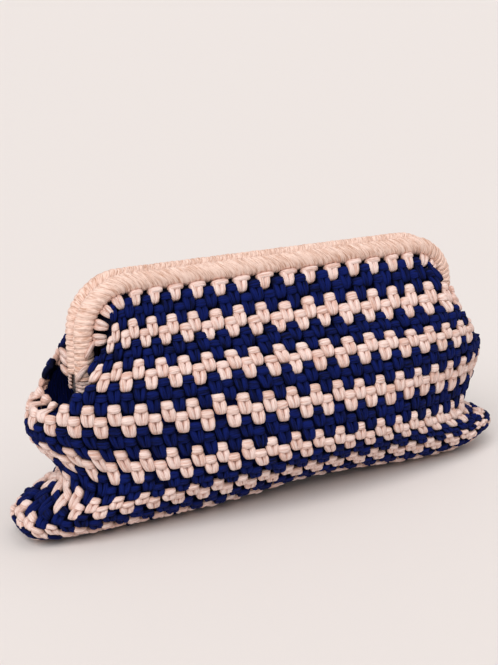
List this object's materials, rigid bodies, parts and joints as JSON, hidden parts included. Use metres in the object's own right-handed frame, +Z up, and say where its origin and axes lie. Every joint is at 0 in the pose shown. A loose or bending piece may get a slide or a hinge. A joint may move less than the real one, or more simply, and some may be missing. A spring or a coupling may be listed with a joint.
{
  "type": "clutch bag",
  "caption": "Soft striped crocheted clutch bag on a hinged U-shaped frame wound with yarn; the two half-frames swing apart to open the pouch.",
  "frame": {"origin": "middle of the underside, on the surface that the bag stands on", "axes": "+X to the right along the hinge axis, the front faces -Y, +Z up"},
  "size_m": [0.3624, 0.1132, 0.164],
  "materials": {
    "navy_yarn": "matt jersey yarn, crocheted",
    "pale_yarn": "matt jersey yarn, crocheted and wound",
    "cotton_lining": "plain woven cotton",
    "frame_aluminium": "satin drawn rod",
    "hinge_steel": "plain rivet"
  },
  "bodies": {
    "pouch": {"pouch_base": "navy_yarn", "front_wall": "navy_yarn", "back_wall": "navy_yarn", "base_lining": "cotton_lining", "front_lining": "cotton_lining", "back_lining": "cotton_lining", "left_hinge_rivet": "hinge_steel", "right_hinge_rivet": "hinge_steel", "left_hinge_washer": "hinge_steel", "right_hinge_washer": "hinge_steel"},
    "front_frame": {"front_frame_rod": "frame_aluminium", "front_left_hinge_plate": "frame_aluminium", "front_right_hinge_plate": "frame_aluminium", "front_frame_wrap": "pale_yarn"},
    "back_frame": {"back_frame_rod": "frame_aluminium", "back_left_hinge_plate": "frame_aluminium", "back_right_hinge_plate": "frame_aluminium", "back_frame_wrap": "pale_yarn"}
  },
  "joints": [
    {"name": "front_frame_hinge", "type": "hinge", "parent": "pouch", "child": "front_frame", "pos_m": [0, 0, 0.093], "axis": [1, 0, 0], "range_deg": [0, 45], "deforming": ["front_wall", "front_lining"]},
    {"name": "back_frame_hinge", "type": "hinge", "parent": "pouch", "child": "back_frame", "pos_m": [0, 0, 0.093], "axis": [-1, 0, 0], "range_deg": [0, 45], "deforming": ["back_wall", "back_lining"]}
  ]
}
